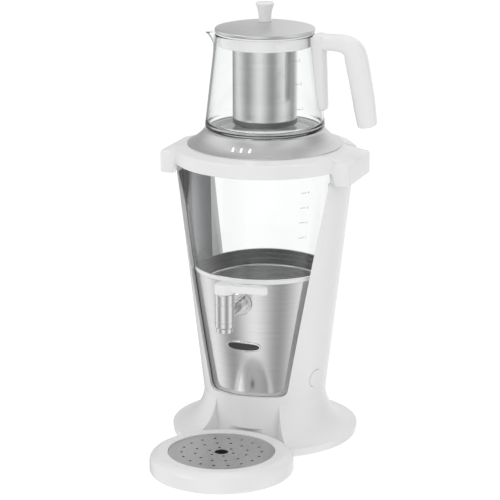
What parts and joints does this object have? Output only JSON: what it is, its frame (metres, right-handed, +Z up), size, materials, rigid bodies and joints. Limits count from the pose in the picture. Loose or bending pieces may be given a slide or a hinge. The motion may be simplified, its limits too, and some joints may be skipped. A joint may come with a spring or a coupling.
{
  "type": "automatic tea maker",
  "caption": "Electric samovar-style tea maker: boiler with glass upper tank in a two-pillar frame, lever tap over a drip tray, glass teapot with infuser on a warming ring.",
  "frame": {"origin": "the boiler's vertical axis at the table, between the feet", "axes": "+Z up along the boiler's axis; -Y towards the tap and the drip tray, the front; +X towards the teapot's handle and the power button"},
  "size_m": [0.242, 0.3259, 0.4942],
  "materials": {
    "white_plastic": "gloss",
    "white_handle": "satin gloss",
    "steel_brushed": "brushed",
    "steel_polished": "polished",
    "chrome": "mirror chrome",
    "satin_metal": "satin",
    "clear_glass": "clear",
    "grey_silicone": "matte",
    "dark_rubber": "matte",
    "grey_plastic": "matte",
    "lamp_lens": "lit, translucent",
    "circuit_board": "solder resist",
    "cast_aluminium": "cast",
    "zinc_steel": "zinc plated"
  },
  "bodies": {
    "machine": {"base_housing": "white_plastic", "base_bottom_cover": "white_plastic", "rubber_feet": "dark_rubber", "cover_screws": "zinc_steel", "frame_screws": "zinc_steel", "cord_gland": "dark_rubber", "control_board": "circuit_board", "support_frame": "white_plastic", "pillar_liner_left": "grey_plastic", "pillar_liner_right": "grey_plastic", "top_collar": "white_plastic", "warming_ring": "satin_metal", "lamp_lenses": "lamp_lens", "lamp_board": "circuit_board", "steam_gasket": "dark_rubber", "glass_tank": "clear_glass", "tank_top_gasket": "grey_silicone", "tank_rim_ring": "white_plastic", "tank_seal": "grey_silicone", "steel_jacket": "steel_brushed", "boiler_pot": "steel_polished", "heater_plate": "cast_aluminium", "heating_element": "zinc_steel", "thermostats": "dark_rubber", "tap_flange": "chrome", "tap_body": "chrome", "tap_nut": "chrome", "tap_washer": "grey_silicone", "button_switch": "circuit_board"},
    "tap_handle": {"tap_lever": "white_plastic", "tap_plug": "chrome"},
    "button": {"power_button": "white_plastic"},
    "tray": {"drip_tray": "white_plastic"},
    "plate": {"drip_plate": "steel_brushed"},
    "teapot": {"teapot_glass": "clear_glass", "teapot_handle": "white_handle"},
    "infuser": {"infuser_rim": "white_handle", "infuser_tube": "steel_polished", "infuser_filter": "grey_plastic"},
    "lid": {"lid_disc": "satin_metal", "lid_knob": "white_handle", "lid_screw": "zinc_steel", "lid_seal": "grey_silicone"}
  },
  "joints": [
    {"name": "lever_turn", "type": "hinge", "parent": "machine", "child": "tap_handle", "pos_m": [0, -0.1286, 0.1981], "axis": [0, 0, 1], "range_deg": [-90, 0]},
    {"name": "button_press", "type": "slide", "parent": "machine", "child": "button", "axis": [-0.9511, 0.309, 0], "range_m": [0, 0.0012], "stiffness_N_per_m": 1500},
    {"name": "tray_slide", "type": "slide", "parent": "machine", "child": "tray", "axis": [0, -1, 0], "range_m": [0, 0.17]},
    {"name": "plate_lift", "type": "slide", "parent": "tray", "child": "plate", "axis": [0, 0, 1], "range_m": [0, 0.03]},
    {"name": "teapot_lift", "type": "slide", "parent": "machine", "child": "teapot", "axis": [0, 0, 1], "range_m": [0, 0.12]},
    {"name": "infuser_lift", "type": "slide", "parent": "teapot", "child": "infuser", "axis": [0, 0, 1], "range_m": [0, 0.12]},
    {"name": "lid_lift", "type": "slide", "parent": "infuser", "child": "lid", "axis": [0, 0, 1], "range_m": [0, 0.05]}
  ]
}
